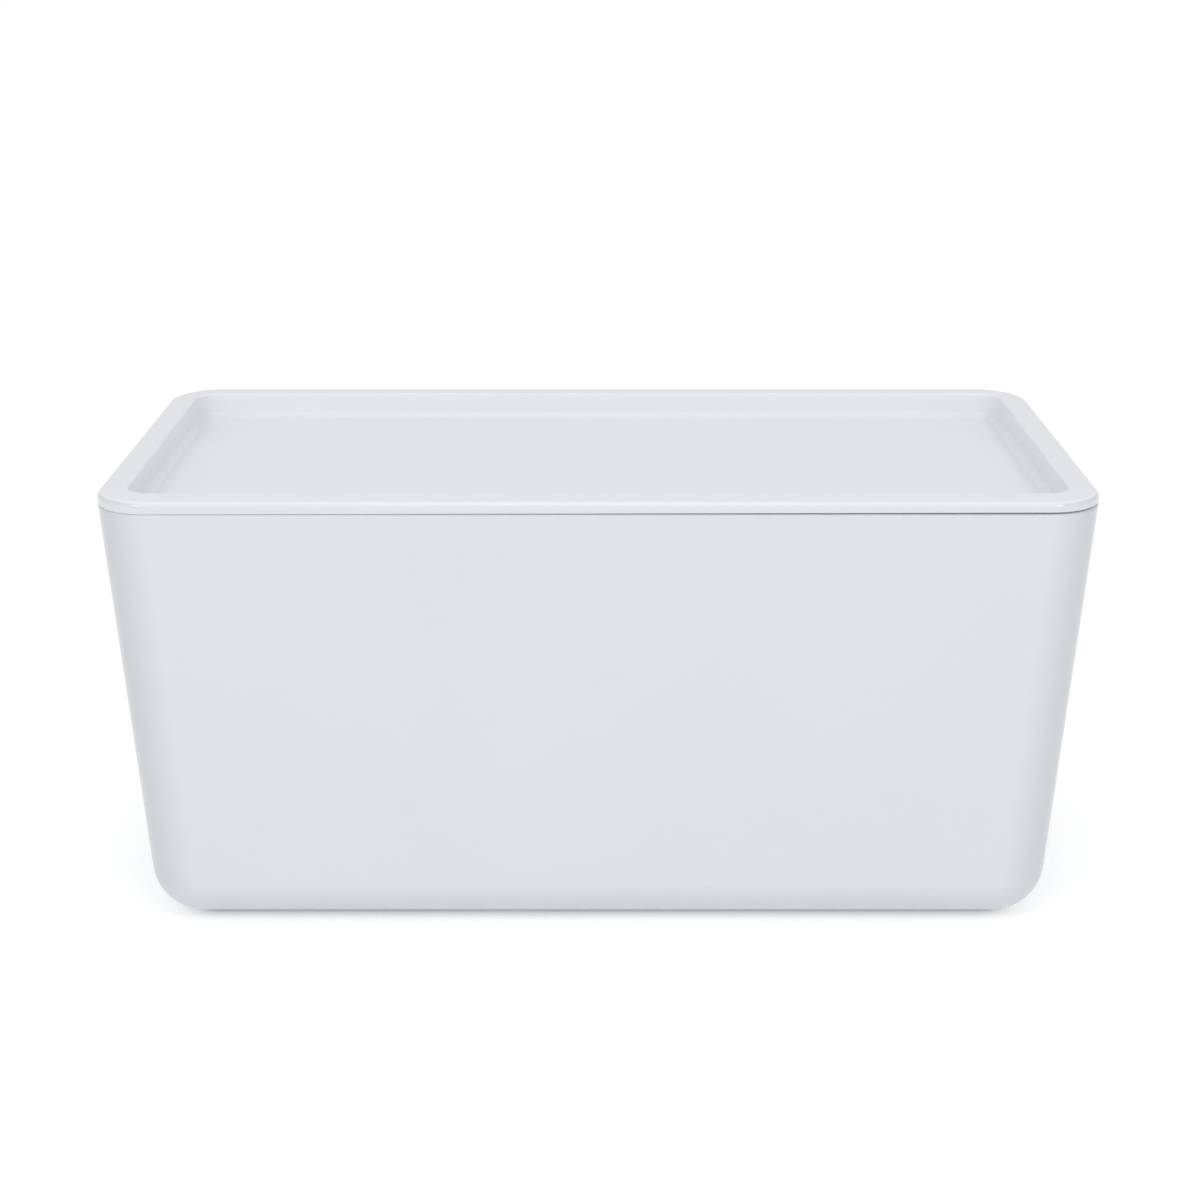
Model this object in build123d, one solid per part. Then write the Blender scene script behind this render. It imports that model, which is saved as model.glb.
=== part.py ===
from build123d import *
import math
import os

# A desktop cable box: a tapered moulded tub that hides a power strip, with a lift-off lid whose top is a
# shallow tray. Cables leave through a notch in the top edge of each short end, under the lid.
# Millimetres, +Z up, +X along the box. The origin is on the surface the box stands on, under its middle.

# Whole box
LENGTH = 320.0          # at the joint between tub and lid, its widest outline
WIDTH = 152.0
HEIGHT = 154.0          # from the surface it stands on to the lid's rim
STAND = 1.0             # the feet hold the tub this far off the surface
CORNER = 18.0           # upright corners, seen from above

# Tub
WALL = 2.6
FLOOR = 3.0
DRAFT = 3.0             # degrees that each wall leans in towards the base
BASE_ROUND = 18.0       # rounding between the walls and the flat base
BASE_STEPS = 6          # sections that shape that rounding
BASE_CORNER = 0.8       # corner radius of the flat base, where the rounded corners run out
MOUTH_ROUND = 0.8       # rounding of the top edges

# Cable exit notch in each short end, open at the joint line until the lid closes it
EXIT_WIDTH = 42.0
EXIT_DEPTH = 26.0
EXIT_CORNER = 9.0

# Lid
SKIRT = 4.3             # the rim's highest line stands this far above the joint
SKIRT_LEAN = 1.6        # the lid's edge moves in this far on the way up
SHEET = 2.4             # moulded thickness
RIM = 10.0              # from the box's outline to the tray
RIM_DROP = 0.5          # the rim falls this much from the tray to its outer edge
RIM_ROUND = 2.0         # rounding of the rim's outer edge
TRAY_DEPTH = 9.2
TRAY_DRAFT = 5.0        # degrees that the tray's walls lean in
TRAY_ROUND = 2.8        # rounding between the tray's walls and its floor
TRAY_EDGE = 0.8         # rounding between the tray's walls and the rim
SHADOW_GAP = 0.4        # height of the shadow line left open along the joint
SHADOW_DEPTH = 0.9

# Lip under the lid that drops into the tub's mouth
LIP_GAP = 0.5
LIP = 1.8
LIP_DEPTH = 6.0
LIP_EXIT_GAP = 4.0      # the lip stops this far short of each side of a cable exit

# Feet
FOOT_RADIUS = 7.0
FOOT_ROUND = 0.4
POCKET_DEPTH = 1.0
POCKET_GAP = 0.2
FOOT_X = 114.0
FOOT_Y = 33.0

# Heights worked out from the above
JOINT_Z = HEIGHT - SKIRT
RIM_EDGE_Z = HEIGHT - RIM_DROP
TRAY_Z = HEIGHT - TRAY_DEPTH
LIP_Z = JOINT_Z - LIP_DEPTH


def ring(inset, height, corner=CORNER):
    """The box's widest outline, set in by an inset, at a height; corner is the radius before the inset."""
    return Pos(0, 0, height) * RectangleRounded(LENGTH - 2 * inset, WIDTH - 2 * inset, corner - inset)


def frustum(low_inset, low_z, high_inset, high_z):
    """A solid block between two heights with straight sloping sides."""
    return loft([ring(low_inset, low_z), ring(high_inset, high_z)], ruled=True)


def base_ring(inset, height, radius):
    """An outline set in by an inset with its own corner radius."""
    return ring(inset, height, corner=radius + inset)


def lean(drop, degrees):
    """How far a drafted wall moves in over a drop."""
    return drop * math.tan(math.radians(degrees))


def tub_form(skin, base_z):
    """The tub as a solid block, its walls moved in by a skin, standing on base_z."""
    draft = math.radians(DRAFT)
    bend = BASE_ROUND - skin
    bend_z = base_z + bend * (1 - math.sin(draft))
    bend_inset = lean(JOINT_Z - bend_z, DRAFT) + skin
    wall_corner = CORNER - skin
    walls = loft([base_ring(bend_inset, bend_z, wall_corner), ring(skin, JOINT_Z)], ruled=True)
    sections = []
    for step in range(BASE_STEPS + 1):
        angle = draft + (math.pi / 2 - draft) * step / BASE_STEPS
        inset = bend_inset + bend * (math.cos(draft) - math.cos(angle))
        height = base_z + bend * (1 - math.sin(angle))
        radius = max(wall_corner * math.cos(angle) / math.cos(draft), BASE_CORNER)
        sections.append(base_ring(inset, height, radius))
    return walls + loft(sections)


def cable_exits(width, depth):
    """The space of both cable exits: one bar along the whole box, hanging below the joint line."""
    profile = Plane.YZ * Pos(0, JOINT_Z) * RectangleRounded(width, 2 * depth, EXIT_CORNER)
    return extrude(profile, LENGTH, both=True)


def foot_places():
    """Name and centre of each foot."""
    for end, x in (("left", -FOOT_X), ("right", FOOT_X)):
        for side, y in (("front", -FOOT_Y), ("rear", FOOT_Y)):
            yield f"foot_{side}_{end}", x, y


def box_body():
    """The tub: one shell with softened top edges, cable exits and a shallow pocket for each foot."""
    shell = tub_form(0, STAND) - tub_form(WALL, STAND + FLOOR)
    mouth = shell.faces().sort_by(Axis.Z)[-1]
    shell = fillet(mouth.edges(), MOUTH_ROUND)
    shell -= cable_exits(EXIT_WIDTH, EXIT_DEPTH)
    for _, x, y in foot_places():
        pocket = Cylinder(FOOT_RADIUS + POCKET_GAP, 2 * POCKET_DEPTH)
        shell -= Pos(x, y, STAND) * pocket
    return shell


def tray_form(skin, top_z):
    """The tray as a solid block from its floor up to top_z, its walls and floor moved out by a skin."""
    floor_inset = RIM + lean(TRAY_DEPTH, TRAY_DRAFT) - skin
    top_inset = RIM + lean(HEIGHT - top_z, TRAY_DRAFT) - skin
    block = frustum(floor_inset, TRAY_Z - skin, top_inset, top_z)
    floor_edges = block.edges().group_by(Axis.Z)[0]
    return fillet(floor_edges, TRAY_ROUND + skin)


def rim_plate():
    """The lid's edge: a leaning skirt, a rounded outer edge and a rim that rises gently to the tray."""
    skirt = frustum(0, JOINT_Z, SKIRT_LEAN, RIM_EDGE_Z)
    crown = frustum(SKIRT_LEAN, RIM_EDGE_Z, RIM, HEIGHT)
    plate = skirt + crown
    outer_edge = plate.edges().filter_by_position(Axis.Z, RIM_EDGE_Z, RIM_EDGE_Z)
    return fillet(outer_edge, RIM_ROUND)


def locating_lip():
    """The lip that drops into the tub's mouth with the walls' draft, broken at each cable exit."""
    outer = WALL + LIP_GAP
    shift = lean(LIP_DEPTH, DRAFT)
    inner = outer + LIP
    lip = frustum(outer + shift, LIP_Z, outer, JOINT_Z) - frustum(inner + shift, LIP_Z, inner, JOINT_Z)
    return lip - cable_exits(EXIT_WIDTH + 2 * LIP_EXIT_GAP, EXIT_DEPTH)


def shadow_line():
    """The thin ring that is left open between the lid's lower edge and the tub."""
    around = ring(-SHADOW_DEPTH, JOINT_Z)
    kept = ring(SHADOW_DEPTH, JOINT_Z)
    return extrude(around - kept, SHADOW_GAP)


def tray_lid():
    """The lid: rim, tray and lip in one moulding, hollow under the rim."""
    pan = tray_form(SHEET, RIM_EDGE_Z - RIM_DROP)
    hollow = extrude(ring(WALL + LIP_GAP + LIP, JOINT_Z), SKIRT - RIM_DROP - SHEET)
    lid = rim_plate() - hollow + pan + locating_lip()
    lid -= tray_form(0, HEIGHT)
    lid -= shadow_line()
    tray_edge = lid.edges().filter_by_position(Axis.Z, HEIGHT, HEIGHT)
    return fillet(tray_edge, TRAY_EDGE)


def foot(x, y):
    """A round rubber pad, seated in its pocket."""
    pad = Cylinder(FOOT_RADIUS, STAND + POCKET_DEPTH, align=(Align.CENTER, Align.CENTER, Align.MIN))
    pad = fillet(pad.edges().group_by(Axis.Z)[0], FOOT_ROUND)
    return Pos(x, y, 0) * pad


def main():
    parts = {"box_body": box_body(), "tray_lid": tray_lid()}
    for name, x, y in foot_places():
        parts[name] = foot(x, y)
    os.makedirs("parts", exist_ok=True)
    for name, part in parts.items():
        export_step(part, f"parts/{name}.step")


main()
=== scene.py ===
"""A white desktop cable box with a lift-off tray lid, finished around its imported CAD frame.

The tub, the lid and the rubber feet are rebuilt here as fine smooth meshes on the frame's own sizes,
with moulded plastic and rubber materials, and stand on a plain pale floor in soft studio light.
Metres, +Z up, +X along the box. An inset is the distance in from the box's widest outline, and a drop is
the distance down from the joint between tub and lid.
"""
import math
from collections import namedtuple

import bmesh
import bpy
from mathutils import Matrix, Vector


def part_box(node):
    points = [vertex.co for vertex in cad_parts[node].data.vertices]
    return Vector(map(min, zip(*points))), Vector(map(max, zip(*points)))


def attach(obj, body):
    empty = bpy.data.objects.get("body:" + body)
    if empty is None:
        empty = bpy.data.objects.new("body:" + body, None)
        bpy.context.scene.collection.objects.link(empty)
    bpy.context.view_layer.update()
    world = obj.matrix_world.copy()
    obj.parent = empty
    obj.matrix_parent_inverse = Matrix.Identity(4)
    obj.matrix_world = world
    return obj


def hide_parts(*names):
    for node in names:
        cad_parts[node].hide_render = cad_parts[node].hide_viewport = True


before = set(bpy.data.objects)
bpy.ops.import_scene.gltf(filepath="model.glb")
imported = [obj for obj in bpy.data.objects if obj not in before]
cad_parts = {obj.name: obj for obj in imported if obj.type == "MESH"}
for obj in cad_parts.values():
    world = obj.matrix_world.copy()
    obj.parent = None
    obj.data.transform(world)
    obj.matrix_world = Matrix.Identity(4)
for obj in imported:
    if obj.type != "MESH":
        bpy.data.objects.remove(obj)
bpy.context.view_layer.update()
tub_low, tub_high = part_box("box_body")
lid_low, lid_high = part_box("tray_lid")

MM = 0.001

# Sizes read from the frame
HALF_LENGTH = tub_high.x
HALF_WIDTH = tub_high.y
BASE_Z = tub_low.z
JOINT_Z = tub_high.z
RIM_Z = lid_high.z
FOOT_NODES = sorted(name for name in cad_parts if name.startswith("foot_"))

# Tub
CORNER = 18 * MM                # upright corners, seen from above
WALL = 2.6 * MM
FLOOR = 3.0 * MM
DRAFT = math.radians(3)
BASE_ROUND = 18 * MM
BASE_CORNER = 0.8 * MM          # corner radius where the flat base begins
MOUTH_ROUND = 0.8 * MM
EXIT_WIDTH = 42 * MM
EXIT_DEPTH = 26 * MM
EXIT_CORNER = 9 * MM
EXIT_SHOULDER = 1.4 * MM        # rounding where the mouth turns down into a cable exit
EXIT_PATCH = 0.8                # share of a short side whose mesh bends round its cable exit
EXIT_RUNS = (6, 8, 8)           # mesh steps along an exit's floor, its side and the mouth beside it
PATCH_DROP = 52 * MM            # how far below the joint that bending starts
POCKET_GAP = 0.2 * MM
POCKET_DEPTH = 1.0 * MM

# Lid
SHEET = 2.4 * MM
SKIRT_LEAN = 0.2 * MM           # the lid's edge stands nearly upright and rolls over into its rim
RIM = 10 * MM
RIM_DROP = 0.5 * MM
RIM_ROUND = 2.2 * MM
TRAY_DRAFT = math.radians(5)
TRAY_ROUND = 2.8 * MM
TRAY_EDGE = 0.8 * MM
SHADOW_GAP = 0.36 * MM          # mean height of the shadow line along the joint
SHADOW_TILT = 0.33 * MM         # the skirt's edge is this much lower at the left and higher at the right
SHADOW_DEPTH = 2.2 * MM
SKIRT_EDGE = 0.15 * MM
LIP_GAP = 0.5 * MM
LIP = 1.8 * MM
LIP_DEPTH = 6 * MM
LIP_ROUND = 0.5 * MM
LIP_BREAK = 25 * MM             # the lip stops this far from the middle of each short side
INNER_ROUND = 0.4 * MM

# Feet: a slightly hollow sole with round grooves; shares are of the foot's radius
SOLE_HOLLOW = 0.3 * MM
SOLE_FLAT = 0.22
SOLE_EDGE = 0.32
GROOVES = (0.5, 0.68, 0.86)
GROOVE_HALF = 0.35 * MM
GROOVE_DEPTH = 0.25 * MM
FOOT_ROUND = 0.4 * MM
FOOT_TOP_ROUND = 0.1 * MM

# Mesh fineness
CORNER_STEPS = 28
LONG_STEPS = 48
SHORT_STEPS = 10
BESIDE_STEPS = 4
ARC_STEPS = 9
BASE_STEPS = 22
WALL_STEPS = 8
FOOT_STEPS = 96
SHARP_ANGLE = math.radians(40)
JUST_UNDER = 0.999              # leaves out a mark that lies on a limit

# Colours and textures; a texture is its features per metre and its detail
TUB_LIGHT = (0.617, 0.638, 0.667)
TUB_DARK = (0.607, 0.628, 0.657)
# painted shade on the tub's faces turned sideways or down
TUB_PAINTED_SHADE = (0.475, 0.493, 0.517)
LID_LIGHT = (0.817, 0.828, 0.864)
LID_DARK = (0.807, 0.818, 0.854)
# painted shade on the lid's outward-looking faces
LID_PAINTED_SHADE = (0.625, 0.640, 0.665)
RUBBER_LIGHT = (0.26, 0.27, 0.28)
RUBBER_DARK = (0.20, 0.21, 0.22)
FLOOR_DARK = (0.96, 0.96, 0.96)
FLOOR_LIGHT = (0.98, 0.98, 0.98)
TUB_GLOSS = (0.12, 0.17)
LID_GLOSS = (0.03, 0.06)
RUBBER_GLOSS = (0.62, 0.8)
TUB_GRAIN = 0.15
LID_GRAIN = 0.05
RUBBER_GRAIN = 0.5
PLASTIC_IOR = 1.45
FLOW = (14, 4)
CLOUD = (60, 3)
WAVES = (35, 1)
WAVE_HEIGHT = 0.03 * MM
WAVE_STRENGTH = 0.35
SKIN = (2600, 2)
SKIN_HEIGHT = 0.01 * MM
MOTTLE = (700, 3)
RUBBER_WEAR = (300, 2)
RUBBER_SKIN = (4000, 2)
RUBBER_HEIGHT = 0.04 * MM
FLOOR_CLOUD = (5, 2)
NOISE_RANGE = (0.3, 0.7)        # nearly all of a noise pattern lies between these
PAINTED_SHADE_START = 0.6             # how squarely a face looks outward before its colour begins to change to the painted shade

# Camera: level across, looking down at the lid
CAMERA_PLACE = (0.58 * MM, -692.9 * MM, 339.2 * MM)
CAMERA_PITCH = math.radians(19.435)
CAMERA_LENS = 62.0
FILM_WIDTH = 36.0

# Studio light, as surface brightness where 1 is white
FLOOR_HALF = 30                 # half the floor's width
FLOOR_GLOW = 0.27
# painted contact shadow: the floor's glow is weaker under the box
UNDER_SHARE = 0.25              # share of the floor's glow that is left under the box, making a painted shadow there
CONTACT_INSET = 21.3 * MM       # the weaker glow is inside the box's outline less this inset
CONTACT_CORNER = 6 * MM
CONTACT_BLUR = 1.5 * MM
WORLD_LIGHT = (
    # axis, side of it and brightness
    ("X", "MINIMUM", 1.0),
    ("X", "MAXIMUM", 0.95),
    ("Y", "MINIMUM", 1.55),
    ("Y", "MAXIMUM", 1.0),
    ("Z", "MAXIMUM", 0.8),
)
SOFTBOXES = (
    # place, size and brightness
    ((0, -0.45, 1.25), (0.4, 0.2), 3.2),
    ((-0.7, -0.95, 1.05), (0.3, 0.3), 7.0),
    ((0.7, -0.95, 1.05), (0.3, 0.3), 7.0),
)

Column = namedtuple("Column", "centre_x centre_y out_x out_y place")


# ---------------------------------------------------------------- section lines and outlines

def lean(drop, angle=DRAFT):
    """How far a drafted wall moves in over a drop."""
    return drop * math.tan(angle)


def divided(start, end, steps):
    """Points from start up to but not including end, in equal steps."""
    return [start.lerp(end, step / steps) for step in range(steps)]


def rounded_line(corners, runs=None):
    """A line through (across, up, radius) corners, each rounded.

    Runs says into how many steps each straight part divides.
    """
    places = [Vector((across, up)) for across, up, _ in corners]
    runs = runs or [1] * (len(corners) - 1)
    line = []
    start = places[0]
    for index in range(1, len(corners) - 1):
        here, radius = places[index], corners[index][2]
        if radius == 0:
            line += divided(start, here, runs[index - 1])
            start = here
            continue
        back = (places[index - 1] - here).normalized()
        ahead = (places[index + 1] - here).normalized()
        half = back.angle(ahead) / 2
        reach = radius / math.tan(half)
        middle = here + (back + ahead).normalized() * (radius / math.sin(half))
        first = here + back * reach - middle
        last = here + ahead * reach - middle
        turn = math.atan2(first.cross(last), first.dot(last))
        line += divided(start, middle + first, runs[index - 1])
        for step in range(ARC_STEPS):
            line.append(middle + Matrix.Rotation(turn * step / ARC_STEPS, 2) @ first)
        start = middle + last
    line += divided(start, places[-1], runs[-1])
    line.append(places[-1])
    return line


def even_marks(steps):
    """Places between -1 and 1 that divide a straight side into equal steps, its ends left out."""
    return [round(2 * step / steps - 1, 6) for step in range(1, steps)]


def ring_columns(long_marks, short_marks):
    """Columns counterclockwise round a rounded rectangle: corner arcs, and marks along its sides."""
    columns = []
    for quarter, (side_x, side_y) in enumerate(((1, 1), (-1, 1), (-1, -1), (1, -1))):
        for step in range(CORNER_STEPS + 1):
            angle = math.pi / 2 * (quarter + step / CORNER_STEPS)
            columns.append(Column(side_x, side_y, math.cos(angle), math.sin(angle), None))
        if side_x == side_y:
            columns += [Column(-side_x * mark, side_y, 0, side_y, None) for mark in long_marks]
            continue
        for place, mark in enumerate(short_marks):
            columns.append(Column(side_x, -side_y * mark, side_x, 0, place))
    return columns


def ring_point(column, half_x, half_y, radius):
    """Where a column meets a rounded rectangle."""
    x = column.centre_x * (half_x - radius) + column.out_x * radius
    y = column.centre_y * (half_y - radius) + column.out_y * radius
    return x, y


# ---------------------------------------------------------------- mesh helpers

def bridge(mesh, low, high):
    """Faces between two closed loops with the same number of corners."""
    for index in range(len(low)):
        after = (index + 1) % len(low)
        face = list(dict.fromkeys((low[index], low[after], high[after], high[index])))
        if len(face) > 2:
            mesh.faces.new(face)


def cap(mesh, loop, columns, half_x, half_y, radius, height):
    """Closes a flat rounded rectangle with a grid, a strip along each side and a fan in each corner."""
    across = sorted({column.centre_x for column in columns})
    along = sorted({column.centre_y for column in columns})
    grid = {}
    for mark_x in across:
        for mark_y in along:
            place = (mark_x * (half_x - radius), mark_y * (half_y - radius), height)
            grid[mark_x, mark_y] = mesh.verts.new(place)
    bridge(mesh, loop, [grid[column.centre_x, column.centre_y] for column in columns])
    for left, right in zip(across, across[1:]):
        for near, far in zip(along, along[1:]):
            mesh.faces.new((grid[left, near], grid[right, near], grid[right, far], grid[left, far]))


def finished(name, mesh, material):
    """A new object from a bmesh, with its faces turned outward and its material."""
    bmesh.ops.recalc_face_normals(mesh, faces=mesh.faces)
    data = bpy.data.meshes.new(name)
    mesh.to_mesh(data)
    mesh.free()
    data.materials.append(material)
    piece = bpy.data.objects.new(name, data)
    bpy.context.scene.collection.objects.link(piece)
    return piece


def shade_smooth(piece):
    """Smooth shading that stays flat on the flats and breaks at sharp edges."""
    mesh = bmesh.new()
    mesh.from_mesh(piece.data)
    for face in mesh.faces:
        face.smooth = True
    for edge in mesh.edges:
        edge.smooth = edge.is_manifold and edge.calc_face_angle() < SHARP_ANGLE
    mesh.to_mesh(piece.data)
    mesh.free()
    weighted = piece.modifiers.new("weighted_normals", "WEIGHTED_NORMAL")
    weighted.keep_sharp = True


def apply_modifiers(piece):
    """Leaves a piece with its modifiers' result as its own mesh."""
    evaluated = piece.evaluated_get(bpy.context.evaluated_depsgraph_get())
    data = bpy.data.meshes.new_from_object(evaluated)
    piece.modifiers.clear()
    piece.data = data


# ---------------------------------------------------------------- tub

def exit_line(offset):
    """A short side's top edge as (across, drop) points, moved in by an offset.

    It runs along the mouth, round the cable exit and along the mouth again.
    """
    side = EXIT_WIDTH / 2 + offset
    floor = EXIT_DEPTH + offset
    end = EXIT_PATCH * (HALF_WIDTH - CORNER)
    corners = (
        (0, floor, 0),
        (side, floor, EXIT_CORNER + offset),
        (side, offset, EXIT_SHOULDER - offset),
        (end, offset, 0),
    )
    half = rounded_line(corners, EXIT_RUNS)
    mirrored = [Vector((-point.x, point.y)) for point in reversed(half[1:])]
    return mirrored + half


def tub_columns():
    """Columns of the tub; on the short sides they gather where the cable exits are."""
    edge = exit_line(0)
    half = edge[len(edge) // 2:]
    steps = [(after - before).length for before, after in zip(half, half[1:])]
    marks = [EXIT_PATCH * sum(steps[:count]) / sum(steps) for count in range(1, len(half))]
    beside = [EXIT_PATCH + (1 - EXIT_PATCH) * step / BESIDE_STEPS for step in range(1, BESIDE_STEPS)]
    marks += beside
    short_marks = [-mark for mark in reversed(marks)] + [0] + marks
    return ring_columns(even_marks(LONG_STEPS), short_marks), len(beside)


def wall_loop(mesh, columns, beside, base_drop, rise, offset, depth):
    """One loop of the tub's wall, a depth inside its outer face.

    Rise 0 is a level line at base_drop. Rise 1 is the top edge less an offset, round the cable exits.
    """
    edge = exit_line(offset)
    level = base_drop + (offset - base_drop) * rise
    loop = []
    for column in columns:
        drop = level
        inset = lean(level) + depth
        x, y = ring_point(column, HALF_LENGTH - inset, HALF_WIDTH - inset, CORNER - depth)
        if column.place is not None and 0 <= column.place - beside < len(edge):
            across, edge_drop = edge[column.place - beside]
            start = column.centre_y * (HALF_WIDTH - lean(base_drop) - CORNER)
            y = start + (column.centre_x * across - start) * rise
            drop = base_drop + (edge_drop - base_drop) * rise
            x = column.centre_x * (HALF_LENGTH - lean(drop) - depth)
        loop.append(mesh.verts.new((x, y, JOINT_Z - drop)))
    return loop


def base_loops(mesh, columns, skin, floor_z):
    """Loops up the rounding between a flat base and the walls, and the measures of the flat base."""
    bend = BASE_ROUND - skin
    corner = CORNER - skin
    bend_drop = JOINT_Z - floor_z - bend * (1 - math.sin(DRAFT))
    bend_inset = lean(bend_drop) + skin
    loops = []
    for step in range(BASE_STEPS + 1):
        angle = math.pi / 2 + (DRAFT - math.pi / 2) * step / BASE_STEPS
        inset = bend_inset + bend * (math.cos(DRAFT) - math.cos(angle))
        height = floor_z + bend * (1 - math.sin(angle))
        radius = max(corner * math.cos(angle) / math.cos(DRAFT), BASE_CORNER)
        sizes = (HALF_LENGTH - inset, HALF_WIDTH - inset, radius)
        if step == 0:
            flat = sizes
        loops.append([mesh.verts.new((*ring_point(column, *sizes), height)) for column in columns])
    return loops, flat, bend_drop


def cut_pockets(piece):
    """Cuts a shallow round pocket into the base for each foot."""
    mesh = bmesh.new()
    for node in FOOT_NODES:
        low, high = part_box(node)
        middle = (low + high) / 2
        place = Matrix.Translation((middle.x, middle.y, BASE_Z))
        radius = (high.x - low.x) / 2 + POCKET_GAP
        bmesh.ops.create_cone(mesh, cap_ends=True, segments=FOOT_STEPS, radius1=radius, radius2=radius,
                              depth=2 * POCKET_DEPTH, matrix=place)
    cutter = finished("pocket_cutter", mesh, piece.data.materials[0])
    cut = piece.modifiers.new("pockets", "BOOLEAN")
    cut.operation = "DIFFERENCE"
    cut.solver = "EXACT"
    cut.object = cutter
    apply_modifiers(piece)
    bpy.data.objects.remove(cutter)


def build_tub(material):
    """The tub: one closed shell, from the outside of its base over its mouth to its inner floor."""
    mesh = bmesh.new()
    columns, beside = tub_columns()
    outer, outer_flat, outer_drop = base_loops(mesh, columns, 0, BASE_Z)
    inner, inner_flat, inner_drop = base_loops(mesh, columns, WALL, BASE_Z + FLOOR)
    loops = list(outer)

    def wall(base_drop, rise, offset, depth):
        loops.append(wall_loop(mesh, columns, beside, base_drop, rise, offset, depth))

    for step in range(1, WALL_STEPS + 1):
        wall(outer_drop + (PATCH_DROP - outer_drop) * step / WALL_STEPS, 0, MOUTH_ROUND, 0)
    for step in range(1, WALL_STEPS + 1):
        wall(PATCH_DROP, step / WALL_STEPS, MOUTH_ROUND, 0)
    for step in range(1, ARC_STEPS + 1):
        angle = math.pi / 2 * step / ARC_STEPS
        wall(PATCH_DROP, 1, MOUTH_ROUND * (1 - math.sin(angle)), MOUTH_ROUND * (1 - math.cos(angle)))
    for step in range(ARC_STEPS + 1):
        angle = math.pi / 2 * step / ARC_STEPS
        depth = WALL - MOUTH_ROUND * (1 - math.sin(angle))
        wall(PATCH_DROP, 1, MOUTH_ROUND * (1 - math.cos(angle)), depth)
    for step in range(1, WALL_STEPS + 1):
        wall(PATCH_DROP, 1 - step / WALL_STEPS, MOUTH_ROUND, WALL)
    for step in range(1, WALL_STEPS):
        wall(PATCH_DROP + (inner_drop - PATCH_DROP) * step / WALL_STEPS, 0, MOUTH_ROUND, WALL)
    loops += reversed(inner)
    for low, high in zip(loops, loops[1:]):
        bridge(mesh, low, high)
    cap(mesh, outer[0], columns, *outer_flat, BASE_Z)
    cap(mesh, inner[0], columns, *inner_flat, BASE_Z + FLOOR)
    piece = finished("cable_tub", mesh, material)
    cut_pockets(piece)
    shade_smooth(piece)
    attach(piece, "tub")
    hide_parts("box_body")
    return piece


# ---------------------------------------------------------------- lid

def lid_section():
    """The lid's section from the tray's floor over the rim and under the lip to the tray's underside.

    Returns its (inset, height) points and the two between which the lip hangs.
    """
    tray_z = lid_low.z + SHEET
    wall_in = lean(RIM_Z - tray_z, TRAY_DRAFT)
    skirt_low = JOINT_Z + SHADOW_GAP
    skirt_rise = RIM_Z - RIM_DROP - JOINT_Z
    lip_out = WALL + LIP_GAP
    lip_in = lip_out + LIP
    lip_low = JOINT_Z - LIP_DEPTH
    under_rim = RIM_Z - RIM_DROP - SHEET
    over = (
        (CORNER, tray_z, 0),
        (RIM + wall_in, tray_z, TRAY_ROUND),
        (RIM, RIM_Z, TRAY_EDGE),
        (SKIRT_LEAN, RIM_Z - RIM_DROP, RIM_ROUND),
        (SKIRT_LEAN * SHADOW_GAP / skirt_rise, skirt_low, SKIRT_EDGE),
        (SHADOW_DEPTH, skirt_low, 0),
        (SHADOW_DEPTH, JOINT_Z, 0),
        (lip_out, JOINT_Z, 0),
    )
    lip = (
        (lip_out, JOINT_Z, 0),
        (lip_out + lean(LIP_DEPTH), lip_low, LIP_ROUND),
        (lip_in + lean(LIP_DEPTH), lip_low, LIP_ROUND),
        (lip_in, JOINT_Z, 0),
    )
    under = (
        (lip_in, JOINT_Z, 0),
        (lip_in, under_rim, INNER_ROUND),
        (RIM + lean(RIM_Z - under_rim, TRAY_DRAFT) - SHEET, under_rim, INNER_ROUND),
        (RIM + wall_in - SHEET, lid_low.z, TRAY_ROUND + SHEET),
        (CORNER, lid_low.z, 0),
    )
    over_line, lip_line, under_line = (rounded_line(corners) for corners in (over, lip, under))
    lip_start = len(over_line) - 1
    lip_end = lip_start + len(lip_line) - 1
    return over_line + lip_line[1:] + under_line[1:], lip_start, lip_end


def lid_columns():
    """Columns of the lid, with a pair on each short side where the lip stops."""
    stop = LIP_BREAK / (HALF_WIDTH - CORNER)
    beyond = [stop + (1 - stop) * step / SHORT_STEPS for step in range(SHORT_STEPS)]
    between = [stop * mark for mark in even_marks(SHORT_STEPS)]
    short_marks = [-mark for mark in reversed(beyond)] + between + beyond
    return ring_columns(even_marks(LONG_STEPS), short_marks), stop


def bridge_broken_lip(mesh, loops, columns, stop, lip_start, lip_end):
    """Joins the lip's loops, leaves the lip out at the cable exits and closes its ends there."""
    count = len(columns)
    for index, column in enumerate(columns):
        after = (index + 1) % count
        on_short_side = column.out_y == 0 and columns[after].out_y == 0
        middle = (column.centre_y + columns[after].centre_y) / 2
        if not (on_short_side and abs(middle) < stop):
            for low, high in zip(loops[lip_start:lip_end], loops[lip_start + 1:]):
                mesh.faces.new((low[index], low[after], high[after], high[index]))
            continue
        low, high = loops[lip_start], loops[lip_end]
        mesh.faces.new((low[index], low[after], high[after], high[index]))
        for place in (index, after):
            if math.isclose(abs(columns[place].centre_y), stop):
                mesh.faces.new([loop[place] for loop in loops[lip_start:lip_end + 1]])


def lid_loop(mesh, columns, inset, height, skipped):
    """One loop of the lid, with None at the skipped columns; the skirt's lower edge is tilted."""
    on_skirt_edge = JOINT_Z < height < JOINT_Z + 2 * SHADOW_GAP
    loop = []
    for index, column in enumerate(columns):
        if index in skipped:
            loop.append(None)
            continue
        x, y = ring_point(column, HALF_LENGTH - inset, HALF_WIDTH - inset, CORNER - inset)
        tilt = SHADOW_TILT * x / HALF_LENGTH if on_skirt_edge else 0
        loop.append(mesh.verts.new((x, y, height + tilt)))
    return loop


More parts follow.
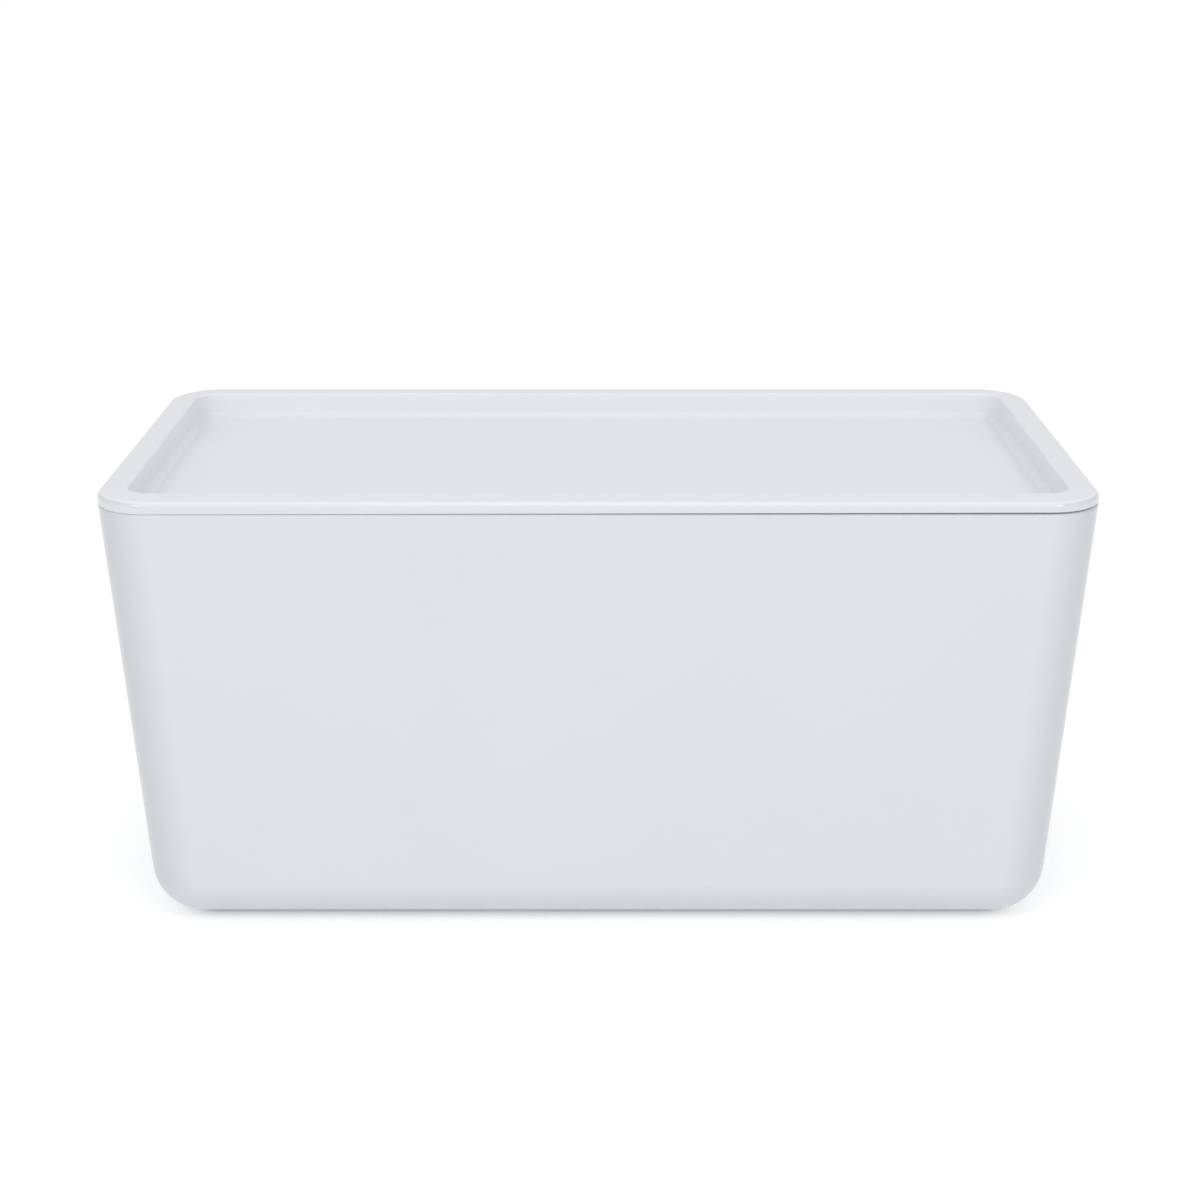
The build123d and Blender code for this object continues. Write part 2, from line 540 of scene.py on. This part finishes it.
def build_lid(material):
    """The lid: a closed moulding with a recessed tray, a rounded rim and a locating lip."""
    mesh = bmesh.new()
    section, lip_start, lip_end = lid_section()
    columns, stop = lid_columns()
    break_columns = {index for index, column in enumerate(columns)
                     if column.out_y == 0 and abs(column.centre_y) < stop * JUST_UNDER}
    last = len(section) - 2
    loops = [None]
    for number in range(1, last + 1):
        skipped = break_columns if lip_start < number < lip_end else ()
        loops.append(lid_loop(mesh, columns, section[number].x, section[number].y, skipped))
    for number in range(1, last):
        if not lip_start <= number < lip_end:
            bridge(mesh, loops[number], loops[number + 1])
    bridge_broken_lip(mesh, loops, columns, stop, lip_start, lip_end)
    for number, middle in ((1, section[0]), (last, section[-1])):
        inset = section[number].x
        sizes = (HALF_LENGTH - inset, HALF_WIDTH - inset, CORNER - inset)
        cap(mesh, loops[number], columns, *sizes, middle.y)
    piece = finished("lid_with_tray", mesh, material)
    shade_smooth(piece)
    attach(piece, "lid")
    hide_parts("tray_lid")
    return piece


# ---------------------------------------------------------------- feet

def foot_section(radius, height):
    """A foot's section as (radius, height) points, from the middle of its sole to that of its top."""
    corners = [(0, SOLE_HOLLOW, 0), (SOLE_FLAT * radius, SOLE_HOLLOW, 0), (SOLE_EDGE * radius, 0, 0)]
    for share in GROOVES:
        middle = share * radius
        corners += [
            (middle - GROOVE_HALF, 0, 0),
            (middle - GROOVE_HALF / 2, GROOVE_DEPTH, 0),
            (middle + GROOVE_HALF / 2, GROOVE_DEPTH, 0),
            (middle + GROOVE_HALF, 0, 0),
        ]
    corners += [(radius, 0, FOOT_ROUND), (radius, height, FOOT_TOP_ROUND), (0, height, 0)]
    return rounded_line(corners)


def build_foot(node, material):
    """One stick-on rubber foot with a grooved sole."""
    low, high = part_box(node)
    middle = (low + high) / 2
    mesh = bmesh.new()
    section = foot_section((high.x - low.x) / 2, high.z - low.z)
    poles = [mesh.verts.new((middle.x, middle.y, low.z + section[end].y)) for end in (0, -1)]
    turns = [2 * math.pi * step / FOOT_STEPS for step in range(FOOT_STEPS)]
    rings = []
    for radius, height in section[1:-1]:
        ring = []
        for turn in turns:
            x = middle.x + radius * math.cos(turn)
            y = middle.y + radius * math.sin(turn)
            ring.append(mesh.verts.new((x, y, low.z + height)))
        rings.append(ring)
    for inner, outer in zip(rings, rings[1:]):
        bridge(mesh, inner, outer)
    for pole, ring in zip(poles, (rings[0], rings[-1])):
        bridge(mesh, [pole] * FOOT_STEPS, ring)
    piece = finished(node.replace("foot", "rubber_foot"), mesh, material)
    shade_smooth(piece)
    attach(piece, "tub")
    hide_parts(node)
    return piece


# ---------------------------------------------------------------- materials

def new_material(name):
    """A new node material, with its Principled shader and its object-space coordinates."""
    material = bpy.data.materials.new(name)
    material.use_nodes = True
    nodes = material.node_tree.nodes
    nodes.clear()
    output = nodes.new("ShaderNodeOutputMaterial")
    shader = nodes.new("ShaderNodeBsdfPrincipled")
    place = nodes.new("ShaderNodeTexCoord")
    material.node_tree.links.new(shader.outputs["BSDF"], output.inputs["Surface"])
    return material, shader, place.outputs["Object"]


def noise(material, place, texture):
    """A noise pattern; the texture is its features per metre and its detail."""
    per_metre, detail = texture
    node = material.node_tree.nodes.new("ShaderNodeTexNoise")
    node.inputs["Scale"].default_value = per_metre
    node.inputs["Detail"].default_value = detail
    material.node_tree.links.new(place, node.inputs["Vector"])
    return node.outputs["Fac"]


def spread_value(material, pattern, low, high):
    """The pattern's usual range of values, spread from low to high."""
    node = material.node_tree.nodes.new("ShaderNodeMapRange")
    node.inputs["From Min"].default_value = NOISE_RANGE[0]
    node.inputs["From Max"].default_value = NOISE_RANGE[1]
    node.inputs["To Min"].default_value = low
    node.inputs["To Max"].default_value = high
    material.node_tree.links.new(pattern, node.inputs["Value"])
    return node.outputs["Result"]


def mixed_colour(material, pattern, first, second):
    """A colour between two, each a node's output or a fixed colour, chosen by a 0 to 1 pattern."""
    node = material.node_tree.nodes.new("ShaderNodeMix")
    node.data_type = "RGBA"
    colours = [socket for socket in node.inputs if socket.type == "RGBA"]
    for socket, colour in zip(colours, (first, second)):
        if isinstance(colour, tuple):
            socket.default_value = (*colour, 1)
        else:
            material.node_tree.links.new(colour, socket)
    material.node_tree.links.new(pattern, node.inputs["Factor"])
    return next(socket for socket in node.outputs if socket.type == "RGBA")


def bumped(material, pattern, distance, strength, under=None):
    """A bump of a pattern, laid over another bump if there is one."""
    node = material.node_tree.nodes.new("ShaderNodeBump")
    node.inputs["Strength"].default_value = strength
    node.inputs["Distance"].default_value = distance
    material.node_tree.links.new(pattern, node.inputs["Height"])
    if under is not None:
        material.node_tree.links.new(under, node.inputs["Normal"])
    return node.outputs["Normal"]


def vector_length(material, vector, steps):
    """The length of a vector after (operation, value) steps, each applied to it in turn."""
    nodes, link = material.node_tree.nodes, material.node_tree.links.new
    for operation, value in steps:
        node = nodes.new("ShaderNodeVectorMath")
        node.operation = operation
        node.inputs[1].default_value = value
        link(vector, node.inputs[0])
        vector = node.outputs["Vector"]
    length = nodes.new("ShaderNodeVectorMath")
    length.operation = "LENGTH"
    link(vector, length.inputs[0])
    return length.outputs["Value"]


def painted_shade_turned_away(material, _):
    """A painted shade pattern that is 0 where the surface faces forward, back or up, and 1 where sideways
    or down.
    """
    normal = material.node_tree.nodes.new("ShaderNodeNewGeometry").outputs["Normal"]
    return vector_length(material, normal, (("MINIMUM", (1, 1, 0)), ("MULTIPLY", (1, 0, 1))))


def outward(material, place):
    """A painted shade pattern that is 1 where the surface looks level away from the middle, and 0 where up
    or in.
    """
    nodes, link = material.node_tree.nodes, material.node_tree.links.new
    normal = nodes.new("ShaderNodeNewGeometry")
    level = nodes.new("ShaderNodeVectorMath")
    level.operation = "MULTIPLY"
    level.inputs[1].default_value = (1 / HALF_LENGTH, 1 / HALF_WIDTH, 0)
    facing = nodes.new("ShaderNodeVectorMath")
    facing.operation = "DOT_PRODUCT"
    link(place, level.inputs[0])
    link(level.outputs["Vector"], facing.inputs[0])
    link(normal.outputs["Normal"], facing.inputs[1])
    span = nodes.new("ShaderNodeMapRange")
    span.inputs["From Min"].default_value = PAINTED_SHADE_START
    link(facing.outputs["Value"], span.inputs["Value"])
    return span.outputs["Result"]


def plastic(name, light, dark, gloss, grain, edge, painted_shade_pattern):
    """White moulded plastic: faint flow marks, uneven gloss, slow waves and a fine skin texture.

    Where the painted shade pattern is 1 it has the edge colour instead: painted shade that darkens those
    faces and keeps white edges visible against the white floor.
    """
    material, shader, place = new_material(name)
    link = material.node_tree.links.new
    flow = noise(material, place, FLOW)
    colour = mixed_colour(material, spread_value(material, flow, 0, 1), light, dark)
    # painted shade: the edge colour replaces the plastic's own colour where the pattern is 1
    link(mixed_colour(material, painted_shade_pattern(material, place), colour, edge), shader.inputs["Base Color"])
    cloud = noise(material, place, CLOUD)
    link(spread_value(material, cloud, *gloss), shader.inputs["Roughness"])
    waves = bumped(material, noise(material, place, WAVES), WAVE_HEIGHT, WAVE_STRENGTH)
    skin = bumped(material, noise(material, place, SKIN), SKIN_HEIGHT, grain, waves)
    link(skin, shader.inputs["Normal"])
    shader.inputs["IOR"].default_value = PLASTIC_IOR
    return material


def rubber(name):
    """Matt grey rubber with a mottled colour and a fine grain."""
    material, shader, place = new_material(name)
    link = material.node_tree.links.new
    mottle = spread_value(material, noise(material, place, MOTTLE), 0, 1)
    wear = spread_value(material, noise(material, place, RUBBER_WEAR), *RUBBER_GLOSS)
    skin = bumped(material, noise(material, place, RUBBER_SKIN), RUBBER_HEIGHT, RUBBER_GRAIN)
    link(mixed_colour(material, mottle, RUBBER_LIGHT, RUBBER_DARK), shader.inputs["Base Color"])
    link(wear, shader.inputs["Roughness"])
    link(skin, shader.inputs["Normal"])
    return material


# ---------------------------------------------------------------- studio

def glow_with_painted_shadow(material, place, strength):
    """A painted contact shadow: a glow pattern that is weak on the floor under the box's base and rises to
    a strength round it.
    """
    reach = CONTACT_INSET + CONTACT_CORNER
    steps = (
        ("ABSOLUTE", (0, 0, 0)),
        ("SUBTRACT", (HALF_LENGTH - reach, HALF_WIDTH - reach, 0)),
        ("MAXIMUM", (0, 0, 0)),
    )
    distance = vector_length(material, place, steps)
    span = material.node_tree.nodes.new("ShaderNodeMapRange")
    span.inputs["From Min"].default_value = CONTACT_CORNER - CONTACT_BLUR
    span.inputs["From Max"].default_value = CONTACT_CORNER + CONTACT_BLUR
    span.inputs["To Min"].default_value = strength * UNDER_SHARE
    span.inputs["To Max"].default_value = strength
    material.node_tree.links.new(distance, span.inputs["Value"])
    return span.outputs["Result"]


def floor_material():
    """Pale matt floor that glows faintly around the box, as a lit white sweep does; its glow is weaker
    under the box as a painted shadow.
    """
    material, _, place = new_material("studio_floor")
    nodes, link = material.node_tree.nodes, material.node_tree.links.new
    shade = spread_value(material, noise(material, place, FLOOR_CLOUD), 0, 1)
    matt = nodes.new("ShaderNodeBsdfDiffuse")
    glow = nodes.new("ShaderNodeEmission")
    both = nodes.new("ShaderNodeAddShader")
    link(mixed_colour(material, shade, FLOOR_DARK, FLOOR_LIGHT), matt.inputs["Color"])
    # the glow is weak under the box, a painted shadow
    link(glow_with_painted_shadow(material, place, FLOOR_GLOW), glow.inputs["Strength"])
    link(matt.outputs[0], both.inputs[0])
    link(glow.outputs[0], both.inputs[1])
    link(both.outputs[0], material.node_tree.get_output_node("ALL").inputs["Surface"])
    return material


def build_floor():
    """A wide flat floor under the feet."""
    mesh = bmesh.new()
    bmesh.ops.create_grid(mesh, x_segments=1, y_segments=1, size=FLOOR_HALF)
    piece = finished("studio_floor", mesh, floor_material())


def build_world():
    """Soft white surroundings, brightest in front, each direction a blend of the axis sides it leans to."""
    world = bpy.data.worlds.new("studio")
    world.use_nodes = True
    bpy.context.scene.world = world
    nodes, link = world.node_tree.nodes, world.node_tree.links.new
    nodes.clear()

    def maths(operation, first, second):
        node = nodes.new("ShaderNodeMath")
        node.operation = operation
        for socket, value in zip(node.inputs, (first, second)):
            if isinstance(value, float):
                socket.default_value = value
            else:
                link(value, socket)
        return node.outputs[0]

    output = nodes.new("ShaderNodeOutputWorld")
    background = nodes.new("ShaderNodeBackground")
    place = nodes.new("ShaderNodeTexCoord")
    split = nodes.new("ShaderNodeSeparateXYZ")
    link(place.outputs["Generated"], split.inputs[0])
    total = 0.0
    for axis, side, strength in WORLD_LIGHT:
        part = maths(side, split.outputs[axis], 0.0)
        total = maths("ADD", maths("MULTIPLY", maths("MULTIPLY", part, part), strength), total)
    link(total, background.inputs["Strength"])
    link(background.outputs[0], output.inputs["Surface"])


def build_softbox(place, size, glow):
    """A soft light above and in front of the box, aimed at its lid."""
    data = bpy.data.lights.new("softbox", "AREA")
    data.shape = "RECTANGLE"
    data.size, data.size_y = size
    data.energy = glow * math.pi * data.size * data.size_y
    light = bpy.data.objects.new("softbox", data)
    light.location = place
    aim = Vector((0, 0, RIM_Z)) - light.location
    light.rotation_euler = aim.to_track_quat("-Z", "Y").to_euler()
    bpy.context.scene.collection.objects.link(light)


def build_camera():
    """The camera in front of the box, looking slightly down."""
    data = bpy.data.cameras.new("camera")
    data.lens = CAMERA_LENS
    data.sensor_width = FILM_WIDTH
    camera = bpy.data.objects.new("camera", data)
    camera.location = CAMERA_PLACE
    camera.rotation_euler = (math.pi / 2 - CAMERA_PITCH, 0, 0)
    bpy.context.scene.collection.objects.link(camera)
    bpy.context.scene.camera = camera


# ---------------------------------------------------------------- whole scene

# painted shade: the tub is darker on faces turned sideways or down, the lid on faces looking outward
tub_plastic = plastic("tub_plastic_white", TUB_LIGHT, TUB_DARK, TUB_GLOSS, TUB_GRAIN, TUB_PAINTED_SHADE, painted_shade_turned_away)
lid_plastic = plastic("lid_plastic_white", LID_LIGHT, LID_DARK, LID_GLOSS, LID_GRAIN, LID_PAINTED_SHADE, outward)
foot_rubber = rubber("foot_rubber_grey")

build_tub(tub_plastic)
build_lid(lid_plastic)
for foot_node in FOOT_NODES:
    build_foot(foot_node, foot_rubber)

build_floor()
build_world()
for softbox in SOFTBOXES:
    build_softbox(*softbox)
build_camera()
bpy.context.scene.view_settings.view_transform = "Standard"
